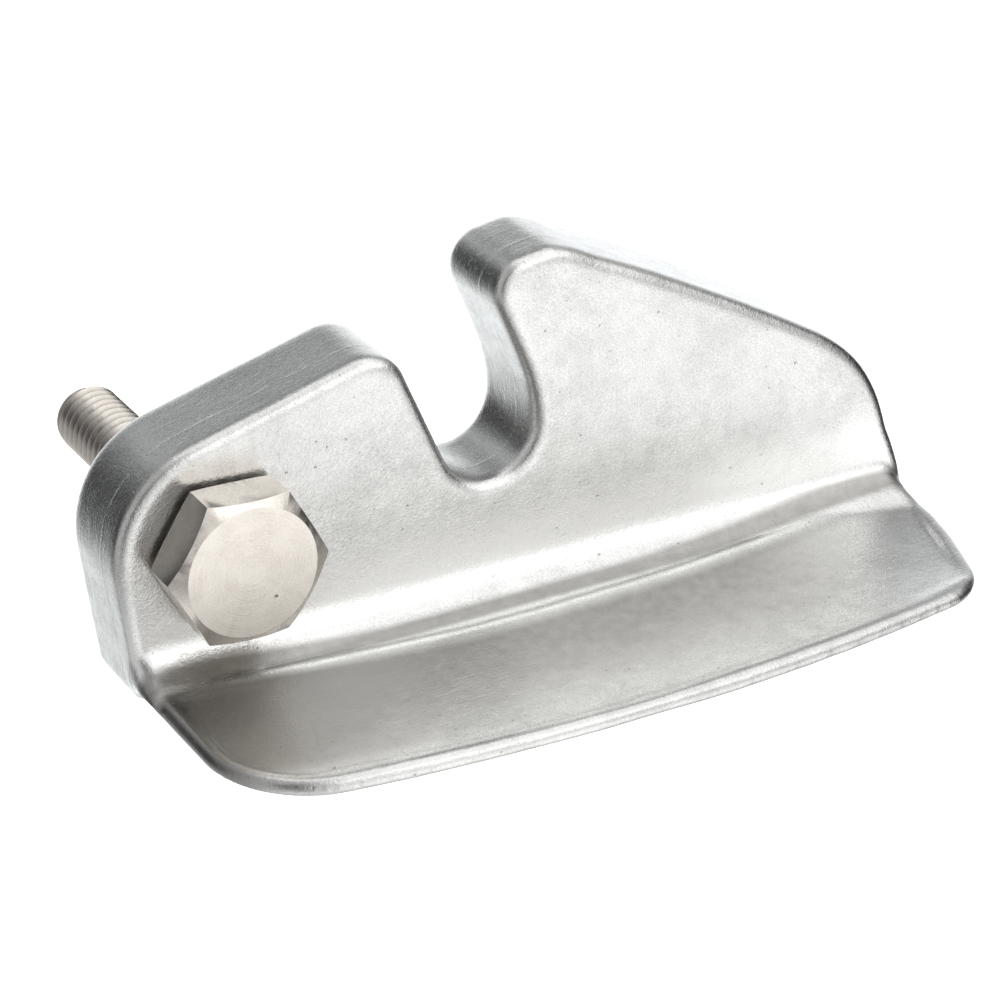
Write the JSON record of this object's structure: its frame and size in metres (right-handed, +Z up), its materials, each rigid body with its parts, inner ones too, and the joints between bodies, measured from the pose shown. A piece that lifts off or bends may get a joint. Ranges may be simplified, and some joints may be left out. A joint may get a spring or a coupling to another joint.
{
  "type": "hook clamp lever",
  "caption": "Cast hold-down lever that pivots on a hex-head shoulder bolt; a hook-shaped slot catches a pin and a dished thumb flange works it.",
  "frame": {"origin": "on the underside, below the middle of the part's box", "axes": "+X along the lever from the pivot to the tail, +Y from the bolt head through to the thread, +Z up from the flange to the hook"},
  "size_m": [0.1204, 0.0808, 0.05],
  "materials": {
    "lever_casting": "tumbled satin casting with fine orange peel, small pits and brighter rounded rims",
    "bolt_steel": "warm stainless, turned head face with fine rings, plain flanks, rolled thread",
    "washer_steel": "dark spring steel, lightly oiled"
  },
  "bodies": {
    "pivot": {"pivot_bolt": "bolt_steel", "wave_washer": "washer_steel"},
    "lever": {"clamp_lever": "lever_casting"}
  },
  "joints": [
    {"name": "lever_pivot", "type": "hinge", "parent": "pivot", "child": "lever", "pos_m": [-0.0452, -0.00545, 0.019], "axis": [0, 1, 0], "continuous": true}
  ]
}
